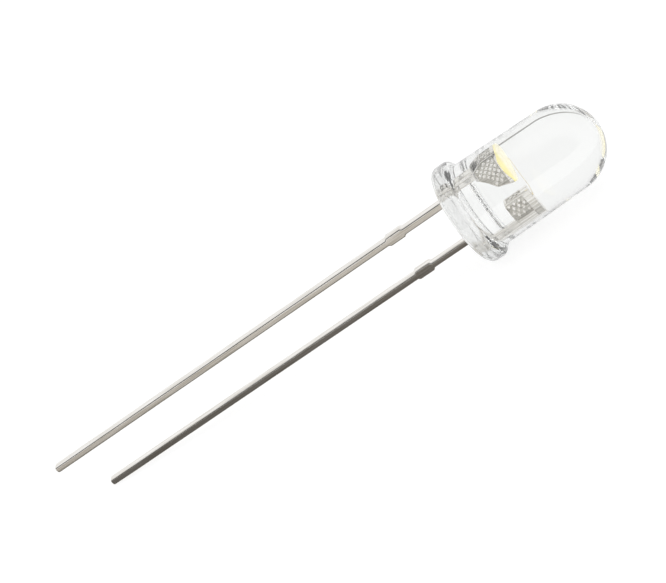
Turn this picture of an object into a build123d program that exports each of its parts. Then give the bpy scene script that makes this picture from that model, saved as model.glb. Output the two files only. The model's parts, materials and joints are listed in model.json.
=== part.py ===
"""A 5 mm through hole LED with a water clear body, lying as it comes to rest.

Every piece is drawn in the lamp's own frame: Z runs along the lens axis towards the dome, zero is the plane of
the flange's underside, X runs from the cathode lead towards the anode lead, and Y is square to the lead frame's
sheet. lie_down() then lays the whole lamp on its flange flat and the tip of its cathode lead.
All sizes are in millimetres.
"""

import math
import os

from build123d import *

# Clear body
FLANGE_DIAMETER = 5.8
FLANGE_THICKNESS = 0.95  # at its rim
FLANGE_REAR_RADIUS = 0.32
FLANGE_FRONT_RADIUS = 0.3
SHOULDER_RISE = 0.17  # how much higher the flange is at the barrel than at its rim
FLAT_FROM_AXIS = 2.5  # the flat that marks the cathode side
BARREL_BASE_DIAMETER = 4.95
BARREL_TOP_DIAMETER = 4.72  # the barrel narrows a little, so that it leaves its mould
BARREL_ROOT_RADIUS = 0.34
BODY_HEIGHT = 8.65
SEATING_RIM_WIDTH = 0.6  # ring round the hollowed underside, its rounded edge included
MENISCUS_DEPTH = 0.3  # how far the underside is drawn in where the resin shrank

# Lead frame: sheet, legs and the stubs left where the tie bar was cut
SHEET_THICKNESS = 0.5
LEAD_PITCH = 2.54
ANODE_LENGTH = 27.4  # below the flange
CATHODE_LENGTH = 25.5
ANODE_LEG_WIDTH = 0.42
CATHODE_LEG_WIDTH = 0.42
ANODE_NECK_WIDTH = 0.42  # from the stub up into the body
CATHODE_NECK_WIDTH = 0.36
STUB_MIDDLE = 3.45  # below the flange
STUB_LENGTH = 1.15
STUB_OVERHANG = 0.09  # how far a stub stands out past its leg on each side
STUB_SLOPE = 0.12  # length over which a stub's ends run out to its full width
TIP_CHAMFER = 0.09

# Anvil, the head of the anode lead
ANVIL_THICKNESS = 0.7  # upset, so thicker than the sheet
ANVIL_ROOT = 1.95  # height at which the neck starts to widen
ANVIL_TOP = 3.6
ANVIL_INNER_EDGE = 0.09  # X of the edge beside the post, at the top
ANVIL_OUTER_EDGE = 1.87
ANVIL_INNER_TAPER = 0.22  # how much further from the post the inner edge stands at its foot
ANVIL_INNER_FOOT = 0.75  # height above the root where the inner edge turns in to the neck
ANVIL_OUTER_FOOT = 0.72
ANVIL_THROAT = 0.42  # height above the root where the inner shoulder is half way in
DISH_RIM_RADIUS = 0.82
DISH_FLOOR_RADIUS = 0.45  # the flat floor that the chip sits on
DISH_DEPTH = 0.15

# Post, the head of the cathode lead
POST_BOTTOM = 2.28
POST_TOP = 3.86
POST_INNER_EDGE = 0.41  # distance from the axis
POST_CORNER_RADIUS = 0.18

# Chip, adhesive and phosphor
CHIP_SIDE = 0.32
CHIP_THICKNESS = 0.1
CHIP_MESA_STEP = 0.02  # ledge round the raised light emitting layer
CHIP_MESA_HEIGHT = 0.012
CHIP_PAD_DIAMETER = 0.09
CHIP_PAD_HEIGHT = 0.004
CHIP_PAD_FROM_EDGE = 0.08
BOND_THICKNESS = 0.015
BOND_MARGIN = 0.03  # how far the adhesive spreads past the chip
CROWN_SIDE_HEIGHT = 0.2  # how far the phosphor stands above the anvil at its ends
CROWN_RISE = 0.12  # how much higher its middle is
CROWN_EDGE_RADIUS = 0.09  # of the drop's rounded edges

# Bond wires
WIRE_DIAMETER = 0.025
BALL_DIAMETER = 0.075
BALL_HEIGHT = 0.03
FOOT_DIAMETER = 0.08
FOOT_HEIGHT = 0.03
WIRE_LOOP_HEIGHT = 0.1  # above the ball, before the wire turns over
WIRE_BEND_RADIUS = 0.06
POST_FOOT_FROM_EDGE = 0.3

# Worked out from the sizes above
FLANGE_RADIUS = FLANGE_DIAMETER / 2
DOME_RADIUS = BARREL_TOP_DIAMETER / 2
DOME_CENTRE = BODY_HEIGHT - DOME_RADIUS
LEAD_X = LEAD_PITCH / 2
ANVIL_X = (ANVIL_INNER_EDGE + ANVIL_OUTER_EDGE) / 2
DISH_FLOOR = ANVIL_TOP - DISH_DEPTH
CHIP_BOTTOM = DISH_FLOOR + BOND_THICKNESS
MESA_TOP = CHIP_BOTTOM + CHIP_THICKNESS + CHIP_MESA_HEIGHT
PAD_TOP = MESA_TOP + CHIP_PAD_HEIGHT
PAD_OFFSET = CHIP_SIDE / 2 - CHIP_PAD_FROM_EDGE
SAME_PLACE = 1e-6


def sheet_piece(outline, thickness):
    """A flat piece of the lead frame: an outline of (X, Z) points, extruded evenly to both sides of the sheet."""
    face = make_face(Polyline(*outline, close=True))
    return extrude(Plane.XZ * face, amount=thickness / 2, both=True)


def leg_outline(length, leg_width, neck_width, neck_top):
    """Half of a lead below its head, as (distance from its middle, Z) points from the tip up."""
    stub_low = -STUB_MIDDLE - STUB_LENGTH / 2
    stub_high = -STUB_MIDDLE + STUB_LENGTH / 2
    stub_half = leg_width / 2 + STUB_OVERHANG
    return [
        (leg_width / 2 - TIP_CHAMFER, -length),
        (leg_width / 2, -length + TIP_CHAMFER),
        (leg_width / 2, stub_low),
        (stub_half, stub_low + STUB_SLOPE),
        (stub_half, stub_high - STUB_SLOPE),
        (neck_width / 2, stub_high),
        (neck_width / 2, neck_top),
    ]


def leg(middle, length, leg_width, neck_width, neck_top):
    """A straight lead from its tip to neck_top, the same on both sides of its middle."""
    half = leg_outline(length, leg_width, neck_width, neck_top)
    right = [(middle + x, z) for x, z in half]
    left = [(middle - x, z) for x, z in reversed(half)]
    return sheet_piece(right + left, SHEET_THICKNESS)


def dish():
    """The shallow dish in the anvil's top: a zone of a sphere, from its rim down to its flat floor."""
    widening = DISH_RIM_RADIUS**2 - DISH_FLOOR_RADIUS**2 - DISH_DEPTH**2
    centre_height = widening / (2 * DISH_DEPTH)  # of the sphere, above the rim
    sphere_radius = math.hypot(centre_height, DISH_RIM_RADIUS)
    ball = Pos(ANVIL_X, 0, ANVIL_TOP + centre_height) * Sphere(sphere_radius)
    slab = Pos(ANVIL_X, 0, DISH_FLOOR) * Box(
        2 * DISH_RIM_RADIUS,
        2 * DISH_RIM_RADIUS,
        DISH_DEPTH,
        align=(Align.CENTER, Align.CENTER, Align.MIN),
    )
    return ball & slab


def anvil():
    """The head of the anode lead, wider on the side of the post, before its dish is pressed in."""
    foot_x = ANVIL_INNER_EDGE + ANVIL_INNER_TAPER
    neck_inner = LEAD_X - ANODE_NECK_WIDTH / 2
    neck_outer = LEAD_X + ANODE_NECK_WIDTH / 2
    outline = [
        (neck_inner, ANVIL_ROOT),
        ((neck_inner + foot_x) / 2, ANVIL_ROOT + ANVIL_THROAT),
        (foot_x, ANVIL_ROOT + ANVIL_INNER_FOOT),
        (ANVIL_INNER_EDGE, ANVIL_TOP),
        (ANVIL_OUTER_EDGE, ANVIL_TOP),
        (ANVIL_OUTER_EDGE, ANVIL_ROOT + ANVIL_OUTER_FOOT),
        (neck_outer, ANVIL_ROOT),
    ]
    return sheet_piece(outline, ANVIL_THICKNESS)


def anode_lead():
    """The longer lead, with the anvil that holds the chip."""
    stem = leg(LEAD_X, ANODE_LENGTH, ANODE_LEG_WIDTH, ANODE_NECK_WIDTH, ANVIL_ROOT)
    return stem + anvil() - dish()


def post():
    """The head of the cathode lead: a flag that reaches in towards the anvil."""
    outer = LEAD_X + CATHODE_NECK_WIDTH / 2
    width = outer - POST_INNER_EDGE
    flag = Plane.XZ * (
        Pos(-POST_INNER_EDGE - width / 2, (POST_BOTTOM + POST_TOP) / 2)
        * Rectangle(width, POST_TOP - POST_BOTTOM)
    )
    solid = extrude(flag, amount=SHEET_THICKNESS / 2, both=True)
    inner_edges = solid.edges().filter_by(Axis.Y).group_by(Axis.X)[-1]
    lower_inner = inner_edges.sort_by(Axis.Z)[0]
    return fillet(lower_inner, POST_CORNER_RADIUS)


def cathode_lead():
    """The shorter lead, with the post that the second bond wire runs to."""
    stem = leg(-LEAD_X, CATHODE_LENGTH, CATHODE_LEG_WIDTH, CATHODE_NECK_WIDTH, POST_TOP)
    return stem + post()


def chip():
    """The light emitting chip: a square slab with a mesa and one round pad for each wire."""
    slab = Pos(ANVIL_X, 0, CHIP_BOTTOM) * Box(
        CHIP_SIDE,
        CHIP_SIDE,
        CHIP_THICKNESS,
        align=(Align.CENTER, Align.CENTER, Align.MIN),
    )
    mesa_side = CHIP_SIDE - 2 * CHIP_MESA_STEP
    mesa = Pos(ANVIL_X, 0, CHIP_BOTTOM + CHIP_THICKNESS) * Box(
        mesa_side,
        mesa_side,
        CHIP_MESA_HEIGHT,
        align=(Align.CENTER, Align.CENTER, Align.MIN),
    )
    pads = [
        Pos(ANVIL_X + side * PAD_OFFSET, 0, MESA_TOP)
        * Cylinder(
            CHIP_PAD_DIAMETER / 2,
            CHIP_PAD_HEIGHT,
            align=(Align.CENTER, Align.CENTER, Align.MIN),
        )
        for side in (-1, 1)
    ]
    return slab + mesa + pads[0] + pads[1]


def die_bond():
    """The thin dab of clear adhesive between the dish's floor and the chip."""
    side = CHIP_SIDE + 2 * BOND_MARGIN
    pad = Pos(ANVIL_X, 0, DISH_FLOOR) * Box(
        side,
        side,
        BOND_THICKNESS,
        align=(Align.CENTER, Align.CENTER, Align.MIN),
    )
    return fillet(pad.edges().filter_by(Axis.Z), BOND_MARGIN)


def bond_wire(route, ball_at, foot_at):
    """A gold wire along a route, with the ball it starts from and the flattened foot it ends in."""
    path = FilletPolyline(*route, radius=WIRE_BEND_RADIUS)
    section = Plane(origin=path @ 0, z_dir=path % 0) * Circle(WIRE_DIAMETER / 2)
    strand = sweep(section, path)
    ball = Pos(*ball_at) * Cylinder(
        BALL_DIAMETER / 2, BALL_HEIGHT, align=(Align.CENTER, Align.CENTER, Align.MIN)
    )
    foot = Pos(*foot_at) * Cylinder(
        FOOT_DIAMETER / 2, FOOT_HEIGHT, align=(Align.CENTER, Align.CENTER, Align.MIN)
    )
    return strand + ball + foot


def anode_bond_wire():
    """The short loop from the chip's outer pad down to the bare ring of the dish's floor."""
    ball_x = ANVIL_X + PAD_OFFSET
    foot_x = ANVIL_X + (CHIP_SIDE / 2 + BOND_MARGIN + DISH_FLOOR_RADIUS) / 2
    loop_top = PAD_TOP + BALL_HEIGHT + WIRE_LOOP_HEIGHT / 2
    route = [
        (ball_x, 0, PAD_TOP + BALL_HEIGHT / 2),
        (ball_x, 0, loop_top),
        ((ball_x + foot_x) / 2, 0, loop_top),
        (foot_x, 0, DISH_FLOOR + FOOT_HEIGHT),
    ]
    return bond_wire(route, (ball_x, 0, PAD_TOP), (foot_x, 0, DISH_FLOOR))


def cathode_bond_wire():
    """The long loop from the chip's inner pad, over the gap, to the top of the post."""
    ball_x = ANVIL_X - PAD_OFFSET
    foot_x = -POST_INNER_EDGE - POST_FOOT_FROM_EDGE
    loop_top = max(PAD_TOP + BALL_HEIGHT, POST_TOP + FOOT_HEIGHT) + WIRE_LOOP_HEIGHT
    route = [
        (ball_x, 0, PAD_TOP + BALL_HEIGHT / 2),
        (ball_x, 0, loop_top),
        (-POST_INNER_EDGE, 0, loop_top),
        (foot_x, 0, POST_TOP + FOOT_HEIGHT),
    ]
    return bond_wire(route, (ball_x, 0, PAD_TOP), (foot_x, 0, POST_TOP))


def phosphor_blank():
    """The drop of phosphor before what it surrounds is taken out: a crowned cap over the anvil, and the dish."""
    half_width = (ANVIL_OUTER_EDGE - ANVIL_INNER_EDGE) / 2
    side_top = ANVIL_TOP + CROWN_SIDE_HEIGHT
    crown_top = side_top + CROWN_RISE
    low_inner = (ANVIL_X - half_width, ANVIL_TOP)
    high_inner = (ANVIL_X - half_width, side_top)
    high_outer = (ANVIL_X + half_width, side_top)
    low_outer = (ANVIL_X + half_width, ANVIL_TOP)
    outline = [
        Line(low_inner, high_inner),
        ThreePointArc(high_inner, (ANVIL_X, crown_top), high_outer),
        Line(high_outer, low_outer),
        Line(low_outer, low_inner),
    ]
    face = make_face(outline)
    cap = extrude(Plane.XZ * face, amount=ANVIL_THICKNESS / 2, both=True)
    upright = cap.edges().filter_by(Axis.Z)
    cap = fillet(upright, CROWN_EDGE_RADIUS)
    above = cap.faces().sort_by(Axis.Z)[-1]
    cap = fillet(above.edges(), CROWN_EDGE_RADIUS)
    return cap + (dish() & sheet_slab())


def sheet_slab():
    """A block as thick as the anvil, which trims the dish to the anvil's two faces."""
    return Pos(ANVIL_X, 0, ANVIL_TOP) * Box(
        2 * DISH_RIM_RADIUS, ANVIL_THICKNESS, 2 * DISH_DEPTH
    )


def round_corner(outline, corner, rounding):
    """The outline with the one of its corners that lies at this (radius, height) rounded."""
    at_corner = [v for v in outline.vertices() if math.dist((v.X, v.Y), corner) < SAME_PLACE]
    return fillet(at_corner, rounding)


def body_blank():
    """The clear body as cast, before what it surrounds is taken out."""
    rim_inner = FLANGE_RADIUS - SEATING_RIM_WIDTH
    base_radius = BARREL_BASE_DIAMETER / 2
    meniscus_radius = (rim_inner**2 + MENISCUS_DEPTH**2) / (2 * MENISCUS_DEPTH)
    rear_corner = (FLANGE_RADIUS, 0)
    front_corner = (FLANGE_RADIUS, FLANGE_THICKNESS)
    root_corner = (base_radius, FLANGE_THICKNESS + SHOULDER_RISE)
    outline = make_face(
        [
            RadiusArc((rim_inner, 0), (0, MENISCUS_DEPTH), -meniscus_radius),
            Line((rim_inner, 0), rear_corner),
            Line(rear_corner, front_corner),
            Line(front_corner, root_corner),
            Line(root_corner, (DOME_RADIUS, DOME_CENTRE)),
            CenterArc((0, DOME_CENTRE), DOME_RADIUS, 0, 90),
            Line((0, BODY_HEIGHT), (0, MENISCUS_DEPTH)),
        ]
    )
    outline = round_corner(outline, rear_corner, FLANGE_REAR_RADIUS)
    outline = round_corner(outline, front_corner, FLANGE_FRONT_RADIUS)
    outline = round_corner(outline, root_corner, BARREL_ROOT_RADIUS)
    turned = revolve(Plane.XZ * outline, Axis.Z)
    flat = Plane(origin=(-FLAT_FROM_AXIS, 0, 0), z_dir=(1, 0, 0))
    return split(turned, bisect_by=flat, keep=Keep.TOP)


def lamp():
    """Every piece in the lamp's own frame. What is cast round another piece fits it face to face."""
    leads = {"anode_lead": anode_lead(), "cathode_lead": cathode_lead()}
    core = {"led_die": chip(), "die_bond": die_bond()}
    wires = {
        "anode_bond_wire": anode_bond_wire(),
        "cathode_bond_wire": cathode_bond_wire(),
    }
    phosphor = phosphor_blank()
    for piece in (*core.values(), *wires.values()):
        phosphor = phosphor - piece
    body = body_blank() - phosphor_blank()
    for piece in (*leads.values(), *wires.values()):
        body = body - piece
    return {
        "lens_body": body,
        "phosphor_fill": phosphor,
        **leads,
        **core,
        **wires,
    }


def lie_down(pieces):
    """Lays the lamp on its flange flat and its cathode tip, centred over the origin, dome towards +X."""
    tip_x = LEAD_X + CATHODE_LEG_WIDTH / 2
    tip_z = CATHODE_LENGTH - TIP_CHAMFER
    lean = math.atan2(FLAT_FROM_AXIS - tip_x, tip_z)
    lying = Plane(
        origin=(0, 0, FLAT_FROM_AXIS * math.cos(lean)),
        x_dir=(-math.sin(lean), 0, math.cos(lean)),
        z_dir=(math.cos(lean), 0, math.sin(lean)),
    )
    laid = {name: lying.location * piece for name, piece in pieces.items()}
    extent = Compound(children=[Part() + piece for piece in laid.values()]).bounding_box()
    centring = Pos(-(extent.min.X + extent.max.X) / 2, 0, 0)
    return {name: centring * piece for name, piece in laid.items()}


os.makedirs("parts", exist_ok=True)
for node, piece in lie_down(lamp()).items():
    export_step(piece, f"parts/{node}.step")
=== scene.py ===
"""Visual model of a water clear 5 mm through hole LED that lies on a pale table.

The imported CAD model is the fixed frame. The clear body and the two leads get finer meshes of their
own: rounded edges, and the diamond pattern that is pressed into the heads of the leads. The chip,
its adhesive, the phosphor and the bond wires keep their CAD shape and get their finish here.
Sizes in the classes are millimetres in the lamp's own frame: Z along the lens axis towards the dome
with zero at the flange's underside, X from the cathode lead towards the anode lead, Y square to the
lead frame's sheet.
"""

import json
import logging
import math
from dataclasses import dataclass, field
from enum import Enum

import bmesh
import bpy
from mathutils import Matrix, Vector


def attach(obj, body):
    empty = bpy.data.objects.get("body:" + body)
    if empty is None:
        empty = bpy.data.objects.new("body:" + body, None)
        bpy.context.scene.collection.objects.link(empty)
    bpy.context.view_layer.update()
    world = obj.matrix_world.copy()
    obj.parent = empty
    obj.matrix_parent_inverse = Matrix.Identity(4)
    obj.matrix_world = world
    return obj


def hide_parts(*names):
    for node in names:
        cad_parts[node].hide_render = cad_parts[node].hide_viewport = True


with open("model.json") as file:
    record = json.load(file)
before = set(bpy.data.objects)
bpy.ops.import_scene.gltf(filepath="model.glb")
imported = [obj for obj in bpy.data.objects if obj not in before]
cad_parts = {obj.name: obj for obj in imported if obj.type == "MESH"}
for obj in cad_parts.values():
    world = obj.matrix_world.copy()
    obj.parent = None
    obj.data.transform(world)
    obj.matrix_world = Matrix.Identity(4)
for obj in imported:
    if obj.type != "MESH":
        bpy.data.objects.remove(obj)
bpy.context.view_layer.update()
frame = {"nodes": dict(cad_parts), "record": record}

MM = 0.001
MERGE_MM = 1e-4  # points nearer than this are one
FACING_COSINE = 0.99  # a face belongs to a side when it looks towards it at least this squarely
LOG = logging.getLogger("led")


def linear(hex_code: str) -> tuple[float, float, float, float]:
    """Turn an sRGB hex colour into linear RGBA.

    Args:
        hex_code: Six hex digits, such as "e8e2d0".

    Returns:
        Red, green and blue as linear values, and an alpha of one.
    """
    channels = [int(hex_code[i : i + 2], 16) / 255 for i in (0, 2, 4)]
    lit = [c / 12.92 if c <= 0.04045 else ((c + 0.055) / 1.055) ** 2.4 for c in channels]
    return (*lit, 1.0)


def grey(level: float) -> tuple[float, float, float, float]:
    """Give a linear grey of this level."""
    return (level, level, level, 1.0)


def add_node(
    tree: bpy.types.NodeTree, kind: str, inputs: dict | None = None, **settings
) -> bpy.types.Node:
    """Add a node, set its properties, and fill or link its inputs.

    Args:
        tree: The node tree to add to.
        kind: The node's type name.
        inputs: Input name or index to a value, or to the output socket that feeds it.
        **settings: Properties of the node itself.

    Returns:
        The new node.
    """
    node = tree.nodes.new(kind)
    for name, value in settings.items():
        setattr(node, name, value)
    for key, value in (inputs or {}).items():
        if isinstance(value, bpy.types.NodeSocket):
            tree.links.new(value, node.inputs[key])
        else:
            node.inputs[key].default_value = value
    return node


def ramp(
    tree: bpy.types.NodeTree, factor: bpy.types.NodeSocket, *stops: tuple[float, tuple]
) -> bpy.types.NodeSocket:
    """Add a colour ramp.

    Args:
        tree: The node tree to add to.
        factor: The socket that drives the ramp.
        *stops: Position and linear RGBA of each stop, in order.

    Returns:
        The ramp's colour output.
    """
    node = add_node(tree, "ShaderNodeValToRGB", {"Fac": factor})
    elements = node.color_ramp.elements
    while len(elements) < len(stops):
        elements.new(0.5)
    for element, (position, colour) in zip(elements, stops):
        element.position = position
        element.color = colour
    return node.outputs["Color"]


def new_material(name: str) -> tuple[bpy.types.Material, bpy.types.NodeTree]:
    """Make an empty node material.

    Args:
        name: The material's name.

    Returns:
        The material and its node tree, which holds only an output.
    """
    material = bpy.data.materials.new(name)
    material.use_nodes = True
    tree = material.node_tree
    tree.nodes.clear()
    tree.nodes.new("ShaderNodeOutputMaterial")
    return material, tree


def set_surface(tree: bpy.types.NodeTree, shader: bpy.types.NodeSocket) -> None:
    """Link a shader to the tree's surface output."""
    output = next(n for n in tree.nodes if n.bl_idname == "ShaderNodeOutputMaterial")
    tree.links.new(shader, output.inputs["Surface"])


def add_object(name: str, bm: bmesh.types.BMesh) -> bpy.types.Object:
    """Make a mesh object of the scene from a bmesh, and free the bmesh.

    Args:
        name: The name of the object and of its mesh.
        bm: The shape, in metres in the row's frame.

    Returns:
        The object, at the origin.
    """
    data = bpy.data.meshes.new(name)
    bm.to_mesh(data)
    bm.free()
    obj = bpy.data.objects.new(name, data)
    bpy.context.scene.collection.objects.link(obj)
    return obj


def hide_from(obj: bpy.types.Object, *rays: str) -> None:
    """Hide an object from some kinds of ray.

    Args:
        obj: The object.
        *rays: The kinds, as in the names of the object's visible_ properties.
    """
    for ray in rays:
        setattr(obj, f"visible_{ray}", False)


@dataclass(frozen=True)
class LampFrame:
    """The lamp's own frame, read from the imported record's mounts."""

    matrix: Matrix

    @classmethod
    def from_record(cls, record: dict) -> "LampFrame":
        """Work out the frame from the seating face and the two lead ends.

        Args:
            record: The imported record.

        Returns:
            The frame, as a matrix from lamp millimetres to row metres.
        """
        mounts = {m["name"]: m for m in record["mounts"]}
        anode = Vector(mounts["anode_lead_end"]["pos_m"])
        cathode = Vector(mounts["cathode_lead_end"]["pos_m"])
        seat = Vector(mounts["seating_face"]["pos_m"])
        z_axis = -Vector(mounts["seating_face"]["axis"]).normalized()
        across = anode - cathode
        x_axis = (across - across.dot(z_axis) * z_axis).normalized()
        y_axis = z_axis.cross(x_axis)
        middle = (anode + cathode) / 2
        origin = middle + (seat - middle).dot(z_axis) * z_axis
        rotation = Matrix((x_axis, y_axis, z_axis)).transposed().to_4x4()
        return cls(Matrix.Translation(origin) @ rotation @ Matrix.Scale(MM, 4))

    def point(self, x: float, y: float, z: float) -> Vector:
        """Give the row position, in metres, of a point in lamp millimetres.

        Args:
            x: Distance from the lens axis, towards the anode lead.
            y: Distance from the middle of the lead frame's sheet.
            z: Height above the flange's underside.

        Returns:
            The point in the row's frame.
        """
        return self.matrix @ Vector((x, y, z))

    def direction(self, x: float, y: float, z: float) -> Vector:
        """Give the unit row direction of a lamp direction."""
        return (self.matrix.to_3x3() @ Vector((x, y, z))).normalized()

    def coordinates(self, tree: bpy.types.NodeTree) -> bpy.types.NodeSocket:
        """Add the nodes that give a surface point in lamp millimetres.

        Args:
            tree: The material's node tree.

        Returns:
            The point as a vector output.
        """
        place = add_node(tree, "ShaderNodeTexCoord")
        into_lamp = self.matrix.inverted()
        mapping = add_node(
            tree,
            "ShaderNodeMapping",
            {
                "Vector": place.outputs["Object"],
                "Location": into_lamp.to_translation(),
                "Rotation": into_lamp.to_euler(),
                "Scale": (1 / MM, 1 / MM, 1 / MM),
            },
        )
        return mapping.outputs["Vector"]


@dataclass
class Piece:
    """A mesh that is modelled in lamp millimetres and becomes one visible piece."""

    name: str
    slot: str
    replaces: str
    mesh: bmesh.types.BMesh = field(default_factory=bmesh.new)

    def finish(
        self, lamp: LampFrame, materials: list[bpy.types.Material], sharp_deg: float
    ) -> bpy.types.Object:
        """Args:
            lamp: The lamp's frame.
            materials: Materials in the order of the mesh's material indices.
            sharp_deg: Edges that turn by more than this shade as sharp.

        Returns:
            The finished object, at the origin.
        """
        for face in self.mesh.faces:
            face.smooth = True
        for edge in self.mesh.edges:
            edge.smooth = edge.calc_face_angle(0.0) < math.radians(sharp_deg)
        bmesh.ops.transform(self.mesh, matrix=lamp.matrix, verts=self.mesh.verts)
        obj = add_object(self.name, self.mesh)
        for material in materials:
            obj.data.materials.append(material)
        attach(obj, "root")
        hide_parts(self.replaces)
        LOG.info("%s: %d faces", self.name, len(obj.data.polygons))
        return obj


@dataclass(frozen=True)
class ClearEpoxy:
    """Water clear casting epoxy from a polished mould: glassy, with the mould's faint swells."""

    tint: str = "fbfcfb"
    ior: float = 1.53
    roughness: float = 0.012
    haze: float = 1.0  # set far above bare epoxy's: it turns the darkest rims soft grey
    haze_roughness: float = 0.4
    swell_mm: float = 0.9  # width of the slow swells that a polished steel mould leaves
    swell_height_mm: float = 0.0006

    def make(self) -> bpy.types.Material:
        """Build the material.

        Returns:
            The material.
        """
        material, tree = new_material("clear_casting_epoxy")
        place = add_node(tree, "ShaderNodeTexCoord")
        swell = add_node(
            tree,
            "ShaderNodeTexNoise",
            {"Vector": place.outputs["Object"], "Scale": 1 / (self.swell_mm * MM), "Detail": 1.0},
        )
        bump = add_node(
            tree,
            "ShaderNodeBump",
            {
                "Height": swell.outputs["Fac"],
                "Strength": 1.0,
                "Distance": self.swell_height_mm * MM,
            },
        )
        shader = add_node(
            tree,
            "ShaderNodeBsdfPrincipled",
            {
                "Base Color": linear(self.tint),
                "Roughness": self.roughness,
                "IOR": self.ior,
                "Transmission Weight": 1.0,
                "Sheen Weight": self.haze,
                "Sheen Roughness": self.haze_roughness,
                "Normal": bump.outputs["Normal"],
            },
        )
        set_surface(tree, shader.outputs["BSDF"])
        return material


@dataclass(frozen=True)
class TinPlate:
    """Bright tin on stamped steel strip: a warm mirror, blurred by fine lines along the lead."""

    name: str = "tin_plated_strip"
    light: str = "f6f4f1"
    dark: str = "d8d4cc"
    dark_at: float = 0.35  # levels of the noise at which the lines are darkest and lightest
    light_at: float = 0.6
    roughness: float = 0.17
    duller: float = 0.08  # how much rougher the dark lines are
    glossier: float = 0.06  # how much smoother the light lines are
    line_mm: float = 0.045  # the real lines are finer, and are drawn as coarse as they need to show
    line_length_mm: float = 2.2
    line_depth_mm: float = 0.0025
    line_strength: float = 0.5

    def make(self, lamp: LampFrame) -> bpy.types.Material:
        """Build the material, with its lines along the lamp's Z.

        Args:
            lamp: The lamp's frame.

        Returns:
            The material.
        """
        material, tree = new_material(self.name)
        drawn = add_node(
            tree,
            "ShaderNodeMapping",
            {
                "Vector": lamp.coordinates(tree),
                "Scale": (1 / self.line_mm, 1 / self.line_mm, 1 / self.line_length_mm),
            },
        )
        lines = add_node(
            tree,
            "ShaderNodeTexNoise",
            {"Vector": drawn.outputs["Vector"], "Scale": 1.0, "Detail": 2.0},
        )
        colour = ramp(
            tree,
            lines.outputs["Fac"],
            (self.dark_at, linear(self.dark)),
            (self.light_at, linear(self.light)),
        )
        rough = add_node(
            tree,
            "ShaderNodeMapRange",
            {
                "Value": lines.outputs["Fac"],
                "To Min": self.roughness + self.duller,
                "To Max": self.roughness - self.glossier,
            },
        )
        bump = add_node(
            tree,
            "ShaderNodeBump",
            {
                "Height": lines.outputs["Fac"],
                "Strength": self.line_strength,
                "Distance": self.line_depth_mm * MM,
            },
        )
        shader = add_node(
            tree,
            "ShaderNodeBsdfPrincipled",
            {
                "Base Color": colour,
                "Metallic": 1.0,
                "Roughness": rough.outputs["Result"],
                "Normal": bump.outputs["Normal"],
            },
        )
        set_surface(tree, shader.outputs["BSDF"])
        return material


# The strip's own tin is bright. The pressed floor is duller, and its greyer colour is painted shade.
STRIP_TIN = TinPlate()
DULL_TIN_PAINTED_SHADE = TinPlate("pressed_tin_painted_shade", light="d2cfc8", dark="a8a49c", roughness=0.3)


@dataclass(frozen=True)
class PhosphorGel:
    """Yellow phosphor powder settled in clear gel: matte yellow below, pale and milky on top."""

    settled: str = "fff3a0"
    milky: str = "fffdf2"
    settled_height: float = 3.64  # lamp Z at which the powder begins to thin out
    milky_height: float = 3.8
    glow: str = "fff6cc"  # painted glow: the powder does fluoresce, but this emission brightens the unlit phosphor; strength not measured
    painted_glow_strength: float = 0.45
    roughness: float = 0.6
    grain_mm: float = 0.06  # the real grains are about 0.015 mm, too fine to show
    grain_depth_mm: float = 0.01
    grain_strength: float = 0.4

    def make(self, lamp: LampFrame) -> bpy.types.Material:
        """Build the material.

        Args:
            lamp: The lamp's frame.

        Returns:
            The material.
        """
        material, tree = new_material("phosphor_powder_in_gel")
        place = lamp.coordinates(tree)
        grain = add_node(
            tree,
            "ShaderNodeTexNoise",
            {"Vector": place, "Scale": 1 / self.grain_mm, "Detail": 2.0},
        )
        split = add_node(tree, "ShaderNodeSeparateXYZ", {0: place})
        height = add_node(
            tree,
            "ShaderNodeMath",
            {0: grain.outputs["Fac"], 1: self.grain_mm, 2: split.outputs["Z"]},
            operation="MULTIPLY_ADD",
        )
        share = add_node(
            tree,
            "ShaderNodeMapRange",
            {
                "Value": height.outputs[0],
                "From Min": self.settled_height,
                "From Max": self.milky_height,
            },
        )
        colour = ramp(
            tree, share.outputs["Result"], (0.0, linear(self.settled)), (1.0, linear(self.milky))
        )
        bump = add_node(
            tree,
            "ShaderNodeBump",
            {
                "Height": grain.outputs["Fac"],
                "Strength": self.grain_strength,
                "Distance": self.grain_depth_mm * MM,
            },
        )
        shader = add_node(
            tree,
            "ShaderNodeBsdfPrincipled",
            {
                "Base Color": colour,
                "Roughness": self.roughness,
                # painted glow, which brightens the phosphor although the lamp is off
                "Emission Color": linear(self.glow),
                "Emission Strength": self.painted_glow_strength,
                "Normal": bump.outputs["Normal"],
            },
        )
        set_surface(tree, shader.outputs["BSDF"])
        return material


@dataclass(frozen=True)
class Plain:
    """A finish with one colour and one gloss all over, for pieces too small to show any grain."""

    name: str
    colour: str
    metallic: float
    roughness: float

    def make(self) -> bpy.types.Material:
        """Build the material.

        Returns:
            The material.
        """
        material, tree = new_material(self.name)
        shader = add_node(
            tree,
            "ShaderNodeBsdfPrincipled",
            {
                "Base Color": linear(self.colour),
                "Metallic": self.metallic,
                "Roughness": self.roughness,
            },
        )
        set_surface(tree, shader.outputs["BSDF"])
        return material


# Gallium nitride on sawn sapphire looks like pale blue grey glass, the silicone that holds it like
# milky gel, and drawn gold wire like a warm yellow mirror.
CHIP_CRYSTAL = Plain("gallium_nitride_on_sapphire", "8fa3bd", 0.0, 0.12)
CHIP_ADHESIVE = Plain("cured_silicone_adhesive", "e9e7df", 0.0, 0.35)
DRAWN_GOLD = Plain("drawn_gold_wire", "f4e6c4", 1.0, 0.3)


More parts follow.
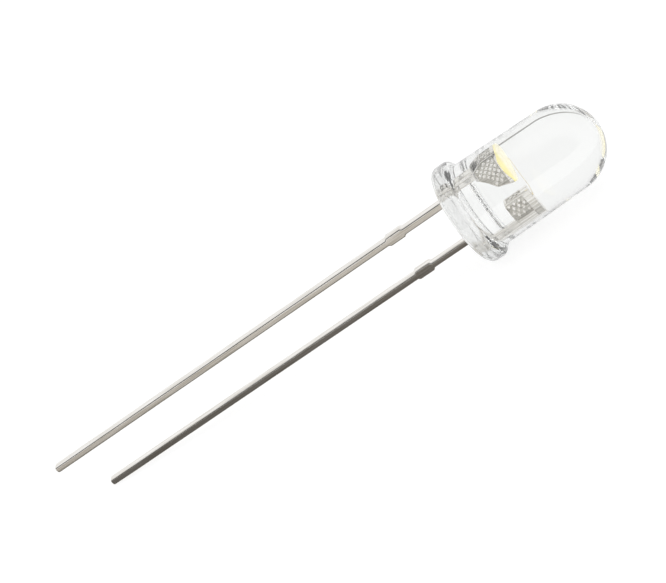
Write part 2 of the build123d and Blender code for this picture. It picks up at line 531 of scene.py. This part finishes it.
@dataclass
class ClearBody:
    """The cast epoxy body: flange with its flat, drafted barrel, dome and hollowed underside."""

    flange_radius: float = 2.9
    flange_thickness: float = 0.95
    flange_rear_radius: float = 0.32
    flange_front_radius: float = 0.3
    shoulder_rise: float = 0.17
    flat_from_axis: float = 2.5
    barrel_base_radius: float = 2.475
    barrel_top_radius: float = 2.36
    barrel_root_radius: float = 0.34
    height: float = 8.65
    rim_width: float = 0.6
    meniscus_depth: float = 0.3
    round_steps: int = 224
    dome_steps: int = 56
    meniscus_steps: int = 20
    fillet_steps: int = 10
    sharp_deg: float = 35.0

    def build(self, lamp: LampFrame, epoxy: bpy.types.Material) -> bpy.types.Object:
        """Draw half the outline, spin it round the lens axis and cut the flat.

        Args:
            lamp: The lamp's frame.
            epoxy: The clear material.

        Returns:
            The finished piece, a closed skin with nothing inside it.
        """
        piece = Piece("clear_body", "clear_epoxy", "lens_body")
        bm = piece.mesh
        self._draw_outline(bm)
        bmesh.ops.spin(
            bm,
            geom=bm.verts[:] + bm.edges[:],
            cent=(0.0, 0.0, 0.0),
            axis=(0.0, 0.0, 1.0),
            angle=math.tau,
            steps=self.round_steps,
            use_merge=True,
        )
        bmesh.ops.remove_doubles(bm, verts=bm.verts, dist=MERGE_MM)
        bmesh.ops.bisect_plane(
            bm,
            geom=bm.verts[:] + bm.edges[:] + bm.faces[:],
            dist=MERGE_MM,
            plane_co=(-self.flat_from_axis, 0.0, 0.0),
            plane_no=(-1.0, 0.0, 0.0),
            clear_outer=True,
        )
        bmesh.ops.contextual_create(bm, geom=[e for e in bm.edges if e.is_boundary])
        bmesh.ops.recalc_face_normals(bm, faces=bm.faces)
        return piece.finish(lamp, [epoxy], self.sharp_deg)

    def _draw_outline(self, bm: bmesh.types.BMesh) -> None:
        """Draw the outline from the middle of the underside to the top of the dome.

        Args:
            bm: The mesh to draw it in, as a chain of edges in the XZ plane.
        """
        rim_inner = self.flange_radius - self.rim_width
        dome_z = self.height - self.barrel_top_radius
        shoulder_z = self.flange_thickness + self.shoulder_rise
        corners = [
            (rim_inner, 0.0),
            (self.flange_radius, 0.0),
            (self.flange_radius, self.flange_thickness),
            (self.barrel_base_radius, shoulder_z),
            (self.barrel_top_radius, dome_z),
        ]
        ring, rear, front, root, dome = [bm.verts.new((r, 0.0, z)) for r, z in corners]
        chain = [ring, rear, front, root, dome]
        for low, high in zip(chain, chain[1:]):
            bm.edges.new((low, high))
        bmesh.ops.spin(
            bm,
            geom=[dome],
            cent=(0.0, 0.0, dome_z),
            axis=(0.0, -1.0, 0.0),
            angle=math.pi / 2,
            steps=self.dome_steps,
        )
        sag_radius = (rim_inner**2 + self.meniscus_depth**2) / (2 * self.meniscus_depth)
        bmesh.ops.spin(
            bm,
            geom=[ring],
            cent=(0.0, 0.0, self.meniscus_depth - sag_radius),
            axis=(0.0, -1.0, 0.0),
            angle=math.asin(rim_inner / sag_radius),
            steps=self.meniscus_steps,
        )
        self._round_corner(bm, rear, self.flange_rear_radius)
        self._round_corner(bm, front, self.flange_front_radius)
        self._round_corner(bm, root, self.barrel_root_radius)

    def _round_corner(
        self, bm: bmesh.types.BMesh, corner: bmesh.types.BMVert, radius: float
    ) -> None:
        """Round one corner of the outline.

        Args:
            bm: The mesh that holds the outline.
            corner: The corner, where two edges meet.
            radius: The radius of the rounding.
        """
        back, on = [edge.other_vert(corner).co - corner.co for edge in corner.link_edges]
        turned = math.pi - back.angle(on)
        bmesh.ops.bevel(
            bm,
            geom=[corner],
            offset=radius * math.tan(turned / 2),
            segments=self.fillet_steps,
            affect="VERTICES",
            profile=0.5,
            material=-1,
        )


class Side(Enum):
    """A side of a head: the way it faces, and the way across it that is square to the lamp's Z."""

    FRONT = (Vector((0, -1, 0)), Vector((1, 0, 0)))
    BACK = (Vector((0, 1, 0)), Vector((1, 0, 0)))
    UPPER = (Vector((1, 0, 0)), Vector((0, 1, 0)))

    @property
    def facing(self) -> Vector:
        """Give the side's outward direction."""
        return self.value[0]

    @property
    def across(self) -> Vector:
        """Give the direction that the field's left and right are measured along."""
        return self.value[1]


class Relief(Enum):
    """What a pressed field of a head shows."""

    DIAMONDS = "diamonds"
    PLAIN = "plain"


PAINTED_SHADE_TIN = 1  # material index on a lead of the pressed tin with painted shade; the strip's own tin is 0


@dataclass(frozen=True)
class PressedField:
    """A field pressed into a head between four limits, with rows of raised diamonds."""

    left: float
    right: float
    low: float
    high: float
    sides: tuple[Side, ...] = (Side.FRONT, Side.BACK)
    relief: Relief = Relief.DIAMONDS
    depth: float = 0.04
    margin: float = 0.02
    cell_width: float = 0.29
    cell_height: float = 0.32
    base_share: float = 0.84  # of a cell
    top_share: float = 0.62  # of the diamond's base
    whole_share: float = 0.55  # how much of a diamond's base must stand on the floor
    top_below_face: float = 0.003
    sunk: float = 0.01  # how far a diamond's base goes into the field's floor

    def press(self, bm: bmesh.types.BMesh) -> None:
        """Press the field into each of its sides of a head.

        Args:
            bm: The head.
        """
        for side in self.sides:
            across, up = side.across, Vector((0, 0, 1))
            for limit, normal in (
                (self.left, across),
                (self.right, across),
                (self.low, up),
                (self.high, up),
            ):
                bmesh.ops.bisect_plane(
                    bm,
                    geom=bm.verts[:] + bm.edges[:] + bm.faces[:],
                    dist=MERGE_MM,
                    plane_co=limit * normal,
                    plane_no=normal,
                )
        for side in self.sides:
            self._press_side(bm, side)

    def _press_side(self, bm: bmesh.types.BMesh, side: Side) -> None:
        """Sink the field's floor on one side, and raise its diamonds.

        Args:
            bm: The head.
            side: The side of the head.
        """
        floor = [
            face
            for face in bm.faces
            if face.normal.dot(side.facing) > FACING_COSINE
            and self._holds(face.calc_center_median(), side)
        ]
        bmesh.ops.inset_region(
            bm,
            faces=floor,
            thickness=self.margin,
            depth=-self.depth,
            use_even_offset=True,
            use_boundary=True,
        )
        # the sunk floor takes the greyer tin: painted shade in the recess round the diamonds
        for face in floor:
            face.material_index = PAINTED_SHADE_TIN
        if self.relief is Relief.DIAMONDS:
            for place in self._centres(floor, side):
                self._raise_diamond(bm, side, place)

    def _holds(self, point: Vector, side: Side) -> bool:
        """Tell whether a point lies between the field's four limits."""
        return (
            self.left < point.dot(side.across) < self.right and self.low < point.z < self.high
        )

    def _centres(self, floor: list[bmesh.types.BMFace], side: Side) -> list[Vector]:
        """Find the diamonds whose inner part stands whole on the floor.

        Args:
            floor: The floor's faces.
            side: The side of the head that the floor is on.

        Returns:
            The middles of their bases, in staggered rows.
        """
        half_width = self.whole_share * self.base_share * self.cell_width / 2
        half_height = self.whole_share * self.base_share * self.cell_height / 2
        floor_level = floor[0].verts[0].co.dot(side.facing) * side.facing
        reach = (
            half_width * side.across,
            -half_width * side.across,
            Vector((0, 0, half_height)),
            Vector((0, 0, -half_height)),
        )
        found = []
        for row in range(round(2 * (self.high - self.low) / self.cell_height)):
            z = self.low + (row + 1) * self.cell_height / 2
            for column in range(round((self.right - self.left) / self.cell_width) + 1):
                x = self.left + (column + (row % 2) / 2) * self.cell_width
                place = floor_level + x * side.across + Vector((0, 0, z))
                if all(
                    any(bmesh.geometry.intersect_face_point(f, place + r) for f in floor)
                    for r in reach
                ):
                    found.append(place)
        return found

    def _raise_diamond(self, bm: bmesh.types.BMesh, side: Side, place: Vector) -> None:
        """Raise one diamond, a low four sided cone with a flat top.

        Args:
            bm: The head.
            side: The side that it stands on.
            place: The middle of its base on the floor.
        """
        height = self.sunk + self.depth - self.top_below_face
        middle = place + side.facing * (height / 2 - self.sunk)
        axes = (side.across, side.facing.cross(side.across), side.facing)
        turned = Matrix(axes).transposed().to_4x4()
        size = Matrix.Diagonal((self.cell_width, self.cell_height, 1.0, 1.0))
        bmesh.ops.create_cone(
            bm,
            cap_ends=True,
            segments=4,
            radius1=self.base_share / 2,
            radius2=self.base_share * self.top_share / 2,
            depth=height,
            matrix=Matrix.Translation(middle) @ turned @ size,
        )


@dataclass
class Lead:
    """One lead stamped from strip: tip, leg, stub and neck, alike on both sides of its middle."""

    name: str
    middle: float
    length: float
    neck_width: float
    neck_top: float
    leg_width: float = 0.42
    stub_middle: float = -3.45
    stub_length: float = 1.15
    stub_overhang: float = 0.09
    stub_slope: float = 0.12
    tip_chamfer: float = 0.09
    sheet: float = 0.5
    edge_radius: float = 0.1  # drawing the strip rounds it, and the tin rounds it further
    rim_steps: int = 4
    corner_steps: int = 6
    sharp_deg: float = 50.0

    def _half_outline(self) -> list[tuple[float, float]]:
        """Give half of the leg's outline, from the tip up.

        Returns:
            Each corner as (distance from the leg's middle, Z).
        """
        low = self.stub_middle - self.stub_length / 2
        high = self.stub_middle + self.stub_length / 2
        wide = self.leg_width / 2 + self.stub_overhang
        return [
            (self.leg_width / 2 - self.tip_chamfer, -self.length),
            (self.leg_width / 2, -self.length + self.tip_chamfer),
            (self.leg_width / 2, low),
            (wide, low + self.stub_slope),
            (wide, high - self.stub_slope),
            (self.neck_width / 2, high),
            (self.neck_width / 2, self.neck_top),
        ]

    def outline(self) -> list[tuple[float, float]]:
        """Give the leg's outline, counter-clockwise from its tip.

        Returns:
            Each corner as (X, Z).
        """
        half = self._half_outline()
        right = [(self.middle + x, z) for x, z in half]
        left = [(self.middle - x, z) for x, z in reversed(half)]
        return right + left

    def stamp(
        self,
        bm: bmesh.types.BMesh,
        outline: list[tuple[float, float]],
        thickness: float,
        edge_radius: float,
        rounded: dict[int, float] | None = None,
    ) -> None:
        """Punch a plate out of the strip and ease the rims of its two faces.

        Args:
            bm: The mesh that it is added to.
            outline: Its corners as (X, Z).
            thickness: The plate's thickness, half to each side of the sheet's middle.
            edge_radius: The radius of its rims.
            rounded: Index of a corner to the radius that its outline is rounded by.
        """
        corners = [bm.verts.new((x, -thickness / 2, z)) for x, z in outline]
        face = bm.faces.new(corners)
        for index, radius in (rounded or {}).items():
            bmesh.ops.bevel(
                bm,
                geom=[corners[index]],
                offset=radius,
                segments=self.corner_steps,
                affect="VERTICES",
                profile=0.5,
                material=-1,
            )
            face = next(f for f in bm.faces if len(f.verts) > len(outline))
        grown = bmesh.ops.extrude_face_region(bm, geom=[face])["geom"]
        moved = [v for v in grown if isinstance(v, bmesh.types.BMVert)]
        bmesh.ops.translate(bm, vec=(0.0, thickness, 0.0), verts=moved)
        cover = next(f for f in grown if isinstance(f, bmesh.types.BMFace))
        rims = list({edge for plate in (face, cover) for edge in plate.edges})
        bmesh.ops.recalc_face_normals(bm, faces=bm.faces)
        bmesh.ops.bevel(
            bm,
            geom=rims,
            offset=edge_radius,
            segments=self.rim_steps,
            affect="EDGES",
            profile=0.5,
            material=-1,
            clamp_overlap=True,
        )

    def finish(
        self, piece: Piece, lamp: LampFrame, tins: list[bpy.types.Material]
    ) -> bpy.types.Object:
        """Clean the mesh, finish the piece and keep its flat faces flat in the shading.

        Args:
            piece: The lead's mesh.
            lamp: The lamp's frame.
            tins: The plain tin, and the pressed tin with painted shade.

        Returns:
            The finished piece.
        """
        bmesh.ops.remove_doubles(piece.mesh, verts=piece.mesh.verts, dist=MERGE_MM)
        bmesh.ops.recalc_face_normals(piece.mesh, faces=piece.mesh.faces)
        obj = piece.finish(lamp, tins, self.sharp_deg)
        shading = obj.modifiers.new("flat_faces_stay_flat", "WEIGHTED_NORMAL")
        shading.keep_sharp = True
        return obj


@dataclass
class AnodeLead(Lead):
    """The longer lead. Its head is the anvil, thicker than the strip, with the chip's dish."""

    name: str = "anode_lead"
    middle: float = 1.27
    length: float = 27.4
    neck_width: float = 0.42
    neck_top: float = 2.3  # inside the anvil
    anvil_thickness: float = 0.7
    anvil_root: float = 1.95
    anvil_top: float = 3.6
    inner_edge: float = 0.09
    outer_edge: float = 1.87
    inner_taper: float = 0.22
    inner_foot: float = 0.75
    outer_foot: float = 0.72
    throat: float = 0.42
    dish_rim_radius: float = 0.82
    dish_floor_radius: float = 0.45
    dish_depth: float = 0.15
    anvil_edge_radius: float = 0.045
    knurl: PressedField = PressedField(left=0.02, right=1.84, low=2.12, high=3.38)
    edge_knurl: PressedField = PressedField(
        left=-0.3, right=0.3, low=2.72, high=3.38, sides=(Side.UPPER,), depth=0.03
    )

    def _anvil_outline(self) -> list[tuple[float, float]]:
        """Give the anvil's outline, with the dish as it breaks through the anvil's two faces.

        The dish is cut straight through at that width, so the phosphor, whose dish is a cone, runs
        a little way into its two slopes.

        Returns:
            Each corner as (X, Z).
        """
        foot_x = self.inner_edge + self.inner_taper
        neck_inner = self.middle - self.neck_width / 2
        neck_outer = self.middle + self.neck_width / 2
        dish_x = (self.inner_edge + self.outer_edge) / 2
        half = self.anvil_thickness / 2
        rim = math.sqrt(self.dish_rim_radius**2 - half**2)
        floor = math.sqrt(self.dish_floor_radius**2 - half**2)
        floor_z = self.anvil_top - self.dish_depth
        return [
            (neck_inner, self.anvil_root),
            (neck_outer, self.anvil_root),
            (self.outer_edge, self.anvil_root + self.outer_foot),
            (self.outer_edge, self.anvil_top),
            (dish_x + rim, self.anvil_top),
            (dish_x + floor, floor_z),
            (dish_x - floor, floor_z),
            (dish_x - rim, self.anvil_top),
            (self.inner_edge, self.anvil_top),
            (foot_x, self.anvil_root + self.inner_foot),
            ((neck_inner + foot_x) / 2, self.anvil_root + self.throat),
        ]

    def build(self, lamp: LampFrame, tins: list[bpy.types.Material]) -> bpy.types.Object:
        """Stamp the leg and the anvil, and press the anvil's diamonds.

        Args:
            lamp: The lamp's frame.
            tins: The plain tin, and the pressed tin with painted shade.

        Returns:
            The finished piece.
        """
        piece = Piece("anode_lead_and_anvil", "tinned_steel", self.name)
        self.stamp(
            piece.mesh, self._anvil_outline(), self.anvil_thickness, self.anvil_edge_radius
        )
        self.knurl.press(piece.mesh)
        self.edge_knurl.press(piece.mesh)
        self.stamp(piece.mesh, self.outline(), self.sheet, self.edge_radius)
        return self.finish(piece, lamp, tins)


@dataclass
class CathodeLead(Lead):
    """The shorter lead. Its head is the post, a flag that is as thick as the strip."""

    name: str = "cathode_lead"
    middle: float = -1.27
    length: float = 25.5
    neck_width: float = 0.36
    neck_top: float = 2.43  # inside the post
    post_bottom: float = 2.28
    post_top: float = 3.86
    inner_edge: float = -0.41
    corner_radius: float = 0.18
    post_edge_radius: float = 0.045
    knurl: PressedField = PressedField(left=-1.15, right=-0.47, low=2.31, high=3.41)
    edge_knurl: PressedField = PressedField(
        left=-0.2, right=0.2, low=2.5, high=3.41, sides=(Side.UPPER,), depth=0.03
    )
    shaft_end: PressedField = PressedField(
        left=-1.42, right=-1.15, low=3.41, high=3.82, relief=Relief.PLAIN, depth=0.03
    )

    def build(self, lamp: LampFrame, tins: list[bpy.types.Material]) -> bpy.types.Object:
        """Stamp the leg and the post, and press the post's fields.

        Args:
            lamp: The lamp's frame.
            tins: The plain tin, and the pressed tin with painted shade.

        Returns:
            The finished piece.
        """
        piece = Piece("cathode_lead_and_post", "tinned_steel", self.name)
        outer = self.middle - self.neck_width / 2
        flag = [
            (self.inner_edge, self.post_bottom),
            (self.inner_edge, self.post_top),
            (outer, self.post_top),
            (outer, self.post_bottom),
        ]
        self.stamp(
            piece.mesh, flag, self.sheet, self.post_edge_radius, rounded={0: self.corner_radius}
        )
        for pressed in (self.knurl, self.edge_knurl, self.shaft_end):
            pressed.press(piece.mesh)
        self.stamp(piece.mesh, self.outline(), self.sheet, self.edge_radius)
        return self.finish(piece, lamp, tins)


@dataclass
class Stage:
    """The pale table, the soft light, the card that paints dark reflections on the metal, and the
    camera.
    """

    view_turn_deg: float = 23.5  # round the lens axis, from square to the lead frame's sheet
    view_lift_deg: float = 18.5  # towards the dome
    view_roll_deg: float = 34.47
    picture_width: float = 34.77
    aim_along: float = -7.786  # from the flange's middle, along the lens axis as it is seen
    aim_up: float = 0.605
    lens: float = 118.0
    clip_near: float = 0.1  # the camera's limits, as shares of its distance
    clip_far: float = 100.0
    table_size: float = 3.0  # metres
    table_drop: float = 0.01  # keeps the table's plane off the lamp's lowest points
    table_colour: str = "e8e8e8"
    shadow_share: float = 0.3  # how much of its lit colour the table shows, and how much white
    glow_share: float = 0.8
    lens_shadow_share: float = 0.45  # the same as seen through the lens, which gathers the shadow
    lens_glow_share: float = 0.6
    outline_from_axis: float = 3.0  # a drawn line, for the dark outline that a lens casts round it
    outline_flare: float = 9.0  # length of its last stretch, which turns away from the dome
    outline_flare_deg: float = 68.0
    outline_width: float = 0.14
    outline_colour: str = "8c8a86"
    card_near: float = 0.27  # edges of the card that paints dark reflections on the leads, from the sheet's plane to the camera
    card_far: float = 12.0
    card_start: float = -30.0  # its ends along the lamp, from the middle of the lamp's length
    card_end: float = 9.0
    card_height: float = 0.02
    card_shades: tuple[tuple[float, str], ...] = (  # from its near edge (0) to its far edge (1)
        (0.0, "63605c"),
        (0.25, "74706b"),
        (0.65, "d0cbc3"),
    )
    # The room's grey levels, from its -Y side (0) to its +Y side (1): as it lights the lamp, as
    # the metal mirrors it, with a dark side that shades the leads, and as the lens shows it.
    room: tuple[tuple[float, float], ...] = ((0.0, 0.6), (0.6, 1.0))
    mirrored: tuple[tuple[float, float], ...] = ((0.12, 0.1), (0.2, 0.25), (0.32, 1.0))
    through: tuple[tuple[float, float], ...] = ((0.2, 0.86), (0.6, 0.96))

    def set_camera(self, lamp: LampFrame) -> None:
        """Place the camera.

        Args:
            lamp: The lamp's frame.
        """
        lift, turn = math.radians(self.view_lift_deg), math.radians(self.view_turn_deg)
        roll = math.radians(self.view_roll_deg)
        back = lamp.direction(
            math.cos(lift) * math.sin(turn), math.cos(lift) * math.cos(turn), math.sin(lift)
        )
        axis = lamp.direction(0, 0, 1)
        along = (axis - axis.dot(back) * back).normalized()
        upward = back.cross(along)
        right = math.cos(roll) * along - math.sin(roll) * upward
        up = math.sin(roll) * along + math.cos(roll) * upward
        data = bpy.data.cameras.new("camera")
        data.lens = self.lens
        distance = self.picture_width * MM * self.lens / data.sensor_width
        data.clip_start, data.clip_end = self.clip_near * distance, self.clip_far * distance
        camera = bpy.data.objects.new("camera", data)
        bpy.context.scene.collection.objects.link(camera)
        aim = lamp.point(0, 0, 0) + (self.aim_along * along + self.aim_up * upward) * MM
        rotation = Matrix((right, up, back)).transposed()
        camera.matrix_world = Matrix.Translation(aim + back * distance) @ rotation.to_4x4()
        bpy.context.scene.camera = camera
        LOG.info("camera %.1f mm away", distance / MM)

    def _sheet(self, name: str, corner_low: Vector, corner_high: Vector) -> bpy.types.Object:
        """Lay a level rectangle that is part of the stage.

        Args:
            name: The object's name.
            corner_low: Its corner with the lowest X and Y, in metres.
            corner_high: Its opposite corner.

        Returns:
            The object.
        """
        bm = bmesh.new()
        bmesh.ops.create_grid(bm, x_segments=1, y_segments=1, size=0.5)
        size = corner_high - corner_low
        middle = (corner_high + corner_low) / 2
        bmesh.ops.scale(bm, vec=(size.x, size.y, 1.0), verts=bm.verts)
        bmesh.ops.translate(bm, vec=middle, verts=bm.verts)
        obj = add_object(name, bm)
        return obj

    def set_table(self) -> None:
        """Lay the table, which shows white but keeps a part of the shadow on it."""
        half = self.table_size / 2
        below = -self.table_drop * MM
        table = self._sheet("table", Vector((-half, -half, below)), Vector((half, half, below)))
        material, tree = new_material("white_table")
        path = add_node(tree, "ShaderNodeLightPath")
        colour = linear(self.table_colour)
        shader = add_node(tree, "ShaderNodeBsdfDiffuse", {"Color": colour}).outputs[0]
        seen_by = (
            ("Is Camera Ray", self.shadow_share, self.glow_share),
            ("Is Glossy Ray", self.shadow_share, self.glow_share),
            ("Is Transmission Ray", self.lens_shadow_share, self.lens_glow_share),
        )
        for ray, share, glow in seen_by:
            lit = add_node(tree, "ShaderNodeBsdfDiffuse", {"Color": grey(share)})
            white = add_node(tree, "ShaderNodeEmission", {"Strength": glow})
            both = add_node(tree, "ShaderNodeAddShader", {0: lit.outputs[0], 1: white.outputs[0]})
            shader = add_node(
                tree, "ShaderNodeMixShader", {0: path.outputs[ray], 1: shader, 2: both.outputs[0]}
            ).outputs[0]
        set_surface(tree, shader)
        table.data.materials.append(material)

    def set_painted_reflection(self) -> None:
        """Lay the card in front of the lamp that paints dark reflections, seen only by mirrored
        rays.
        """
        card = self._sheet(
            "painted_reflection_card",
            Vector((self.card_start, -self.card_far, self.card_height)) * MM,
            Vector((self.card_end, -self.card_near, self.card_height)) * MM,
        )
        hide_from(card, "camera", "diffuse", "transmission", "shadow", "volume_scatter")
        material, tree = new_material("painted_dark_reflection")
        place = add_node(tree, "ShaderNodeTexCoord")
        split = add_node(tree, "ShaderNodeSeparateXYZ", {0: place.outputs["Object"]})
        away = add_node(
            tree,
            "ShaderNodeMapRange",
            {
                "Value": split.outputs["Y"],
                "From Min": -self.card_near * MM,
                "From Max": -self.card_far * MM,
            },
        )
        stops = [(at, linear(shade)) for at, shade in self.card_shades]
        shade = ramp(tree, away.outputs["Result"], *stops)
        glow = add_node(tree, "ShaderNodeEmission", {"Color": shade, "Strength": 1.0})
        set_surface(tree, glow.outputs[0])
        card.data.materials.append(material)

    def set_lens_shadow(self, lamp: LampFrame, body: ClearBody) -> None:
        """Draw a grey strip on the table behind the lens, where only rays through the lens see it.

        It stands for the outline of the shadow that the lens casts, and the lens's rim bends it
        into a thin grey line. It is placed for this camera.

        Args:
            lamp: The lamp's frame.
            body: The clear body, which gives the strip's ends along the lamp.
        """
        bm = bmesh.new()
        dome = lamp.point(0, 0, body.height - body.barrel_top_radius)
        flange = lamp.point(0, 0, body.flange_thickness)
        level = self.card_height * MM
        across = (self.outline_from_axis, self.outline_from_axis + self.outline_width)
        inner, outer = [bm.verts.new((flange.x, y * MM, level)) for y in across]
        drawn = bm.edges.new((inner, outer))
        flare = math.radians(self.outline_flare_deg)
        runs = (
            Vector((dome.x - flange.x, 0, 0)),
            Vector((math.cos(flare), math.sin(flare), 0)) * self.outline_flare * MM,
        )
        for run in runs:
            grown = bmesh.ops.extrude_edge_only(bm, edges=[drawn])["geom"]
            moved = [v for v in grown if isinstance(v, bmesh.types.BMVert)]
            bmesh.ops.translate(bm, vec=run, verts=moved)
            drawn = next(e for e in bm.edges if set(e.verts) == set(moved))
        line = add_object("lens_shadow_line", bm)
        hide_from(line, "camera", "diffuse", "glossy", "shadow")
        material, tree = new_material("deep_shadow")
        colour = linear(self.outline_colour)
        glow = add_node(tree, "ShaderNodeEmission", {"Color": colour, "Strength": 1.0})
        set_surface(tree, glow.outputs[0])
        line.data.materials.append(material)

    def set_light(self) -> None:
        """Light the lamp from a pale room, whose greys differ for metal, lens and camera."""
        world = bpy.data.worlds.new("soft_studio")
        bpy.context.scene.world = world
        world.use_nodes = True
        tree = world.node_tree
        tree.nodes.clear()
        path = add_node(tree, "ShaderNodeLightPath")
        place = add_node(tree, "ShaderNodeTexCoord")
        split = add_node(tree, "ShaderNodeSeparateXYZ", {0: place.outputs["Generated"]})
        away = add_node(
            tree,
            "ShaderNodeMapRange",
            {"Value": split.outputs["Y"], "From Min": -1.0, "From Max": 1.0},
        )
        colour, mirrored, through = [
            ramp(tree, away.outputs["Result"], *((at, grey(level)) for at, level in levels))
            for levels in (self.room, self.mirrored, self.through)
        ]
        choices = (
            ("Is Glossy Ray", mirrored),
            ("Is Transmission Ray", through),
            ("Is Camera Ray", grey(1.0)),
        )
        for ray, seen in choices:
            colour = add_node(
                tree,
                "ShaderNodeMix",
                {0: path.outputs[ray], 6: colour, 7: seen},
                data_type="RGBA",
            ).outputs[2]
        glow = add_node(tree, "ShaderNodeBackground", {"Color": colour, "Strength": 1.0})
        output = add_node(tree, "ShaderNodeOutputWorld")
        tree.links.new(glow.outputs[0], output.inputs["Surface"])


def dress(name: str, material: bpy.types.Material) -> None:
    """Give a CAD node its finish.

    Args:
        name: The node's name.
        material: The finish.
    """
    data = frame["nodes"][name].data
    data.materials.clear()
    data.materials.append(material)
    LOG.info("%s: %s", name, material.name)


def main() -> None:
    """Build the lamp's pieces, dress the CAD nodes and set the stage."""
    logging.basicConfig(level=logging.INFO, format="%(name)s: %(message)s")
    bpy.context.scene.view_settings.view_transform = "Standard"
    lamp = LampFrame.from_record(frame["record"])
    body = ClearBody()
    body.build(lamp, ClearEpoxy().make())
    tins = [STRIP_TIN.make(lamp), DULL_TIN_PAINTED_SHADE.make(lamp)]
    AnodeLead().build(lamp, tins)
    CathodeLead().build(lamp, tins)
    gold = DRAWN_GOLD.make()
    dress("phosphor_fill", PhosphorGel().make(lamp))
    dress("led_die", CHIP_CRYSTAL.make())
    dress("die_bond", CHIP_ADHESIVE.make())
    dress("anode_bond_wire", gold)
    dress("cathode_bond_wire", gold)
    stage = Stage()
    stage.set_camera(lamp)
    stage.set_table()
    stage.set_painted_reflection()
    stage.set_lens_shadow(lamp, body)
    stage.set_light()


if __name__ == "__main__":
    main()
